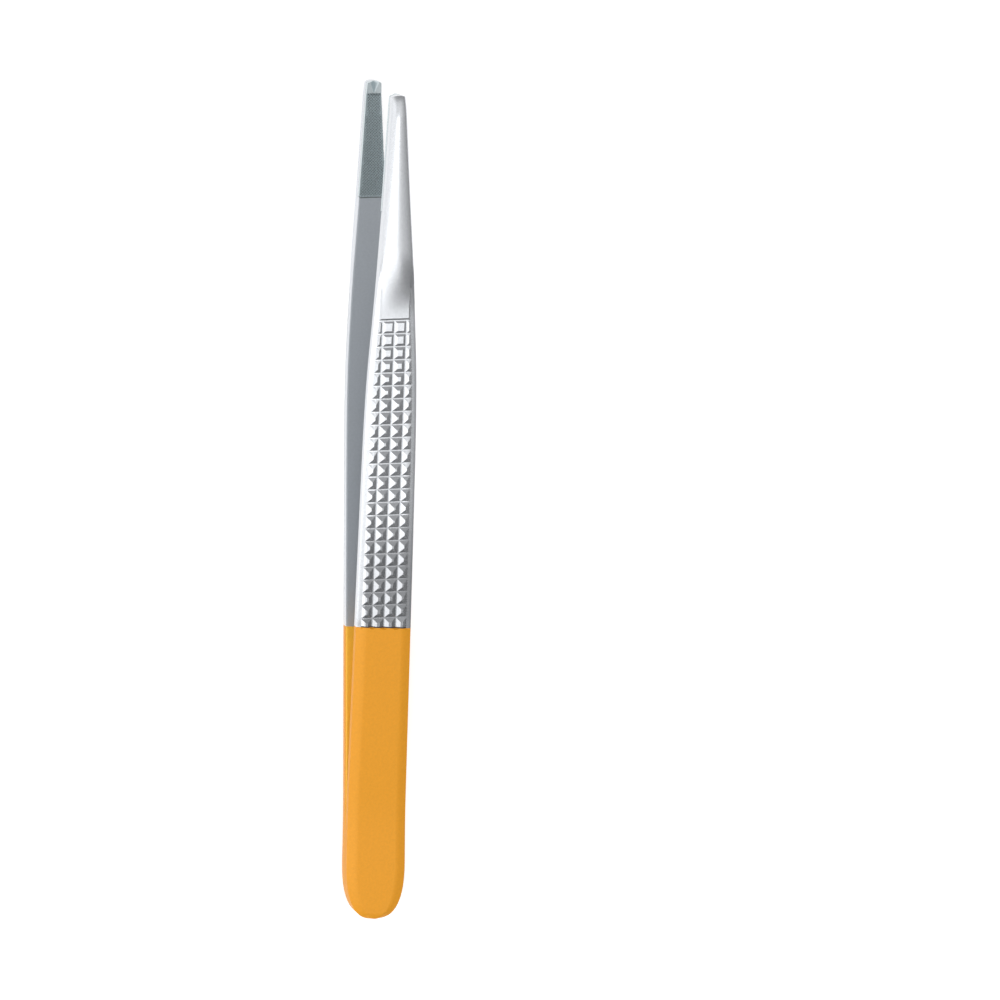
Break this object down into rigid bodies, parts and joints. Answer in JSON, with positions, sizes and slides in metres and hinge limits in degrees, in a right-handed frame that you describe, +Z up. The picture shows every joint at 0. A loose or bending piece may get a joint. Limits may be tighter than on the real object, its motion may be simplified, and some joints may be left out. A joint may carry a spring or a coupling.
{
  "type": "thumb forceps",
  "caption": "Sprung thumb forceps with pyramid-cut grips, a gold-plated butt and cross-cut jaw inserts ending in interlocking teeth.",
  "frame": {"origin": "on the surface that the forceps lies on, under the middle of its outline", "axes": "+X along the length towards the tips, +Y across the width, +Z up from the lower arm to the upper arm"},
  "size_m": [0.1454, 0.0104, 0.022],
  "materials": {
    "satin_steel": "satin-ground stainless steel",
    "jaw_carbide": "ground hard carbide, dull grey",
    "gold_plate": "satin gold plating on the butt half of the arms"
  },
  "bodies": {
    "root": {"upper_arm": "satin_steel", "lower_arm": "satin_steel", "upper_jaw_insert": "jaw_carbide", "lower_jaw_insert": "jaw_carbide"}
  },
  "joints": []
}
